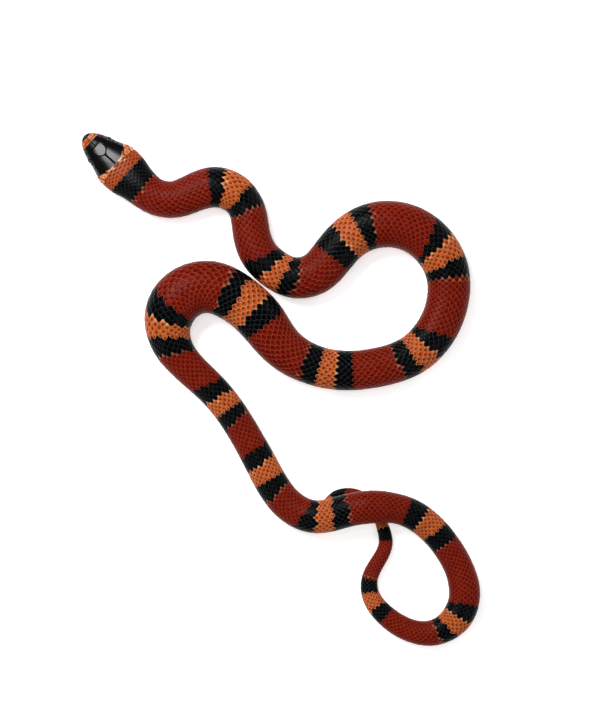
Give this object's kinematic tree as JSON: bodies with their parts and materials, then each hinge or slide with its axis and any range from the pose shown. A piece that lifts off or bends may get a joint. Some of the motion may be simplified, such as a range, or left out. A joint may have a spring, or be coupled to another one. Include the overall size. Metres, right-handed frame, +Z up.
{
  "type": "milk snake",
  "caption": "Milk snake lying in loose bends on the ground, its tail tucked under its body, banded red, black and orange, as a still life-size model.",
  "frame": {"origin": "on the floor under the middle of the animal's bounding box", "axes": "+Z up, +Y along the animal's longer side as it lies, towards the head's end; the head is at -X +Y and points to -X +Y"},
  "size_m": [0.22, 0.2836, 0.0246],
  "materials": {
    "scales": "smooth scales with a soft gloss, brick red between pairs of black bands with an orange band between each pair",
    "head_shields": "glossy black head shields with an orange band across the snout and an orange collar",
    "eyes": "wet gloss, dark brown iris and round black pupil"
  },
  "bodies": {
    "root": {"head": "head_shields", "eye_left": "eyes", "eye_right": "eyes", "neck": "scales", "trunk_1": "scales", "trunk_2": "scales", "trunk_3": "scales", "trunk_4": "scales", "trunk_5": "scales", "trunk_6": "scales", "trunk_7": "scales", "trunk_8": "scales", "trunk_9": "scales", "trunk_10": "scales", "trunk_11": "scales", "tail_1": "scales", "tail_2": "scales", "tail_3": "scales"}
  },
  "joints": []
}
